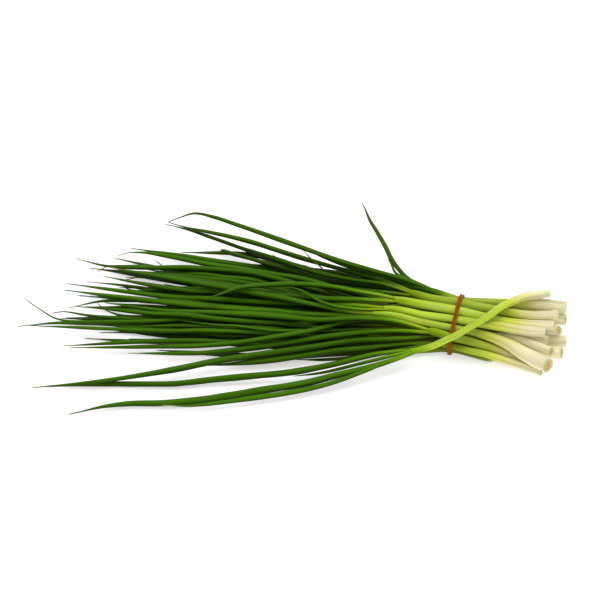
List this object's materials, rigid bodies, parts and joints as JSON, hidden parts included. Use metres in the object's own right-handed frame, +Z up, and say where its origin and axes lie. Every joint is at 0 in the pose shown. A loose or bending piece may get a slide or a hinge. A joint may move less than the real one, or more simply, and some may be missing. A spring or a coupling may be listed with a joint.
{
  "type": "scallion bunch",
  "caption": "Bunch of scallions lying on its side, white bulb ends trimmed, held by a rubber band, with long round green leaves fanning out and a loose scallion laid across the band.",
  "frame": {"origin": "middle of the bounding box's bottom, on the surface that the bunch lies on", "axes": "+X along the bunch towards the bulb ends, +Y across it to the back of the picture's view, +Z up"},
  "size_m": [0.4012, 0.2122, 0.0433],
  "materials": {
    "leaf_green": "smooth waxy plant skin, cream white at the bulb end and dark green in the leaves",
    "band_rubber": "satin brown rubber"
  },
  "bodies": {
    "root": {"scallion_01": "leaf_green", "scallion_02": "leaf_green", "scallion_03": "leaf_green", "scallion_04": "leaf_green", "scallion_05": "leaf_green", "scallion_06": "leaf_green", "scallion_07": "leaf_green", "scallion_08": "leaf_green", "scallion_09": "leaf_green", "scallion_10": "leaf_green", "scallion_11": "leaf_green", "scallion_12": "leaf_green", "scallion_13": "leaf_green", "scallion_14": "leaf_green", "scallion_15": "leaf_green", "scallion_16": "leaf_green", "scallion_17": "leaf_green", "scallion_18": "leaf_green", "scallion_19": "leaf_green", "scallion_20": "leaf_green", "scallion_21": "leaf_green", "rubber_band": "band_rubber"}
  },
  "joints": []
}
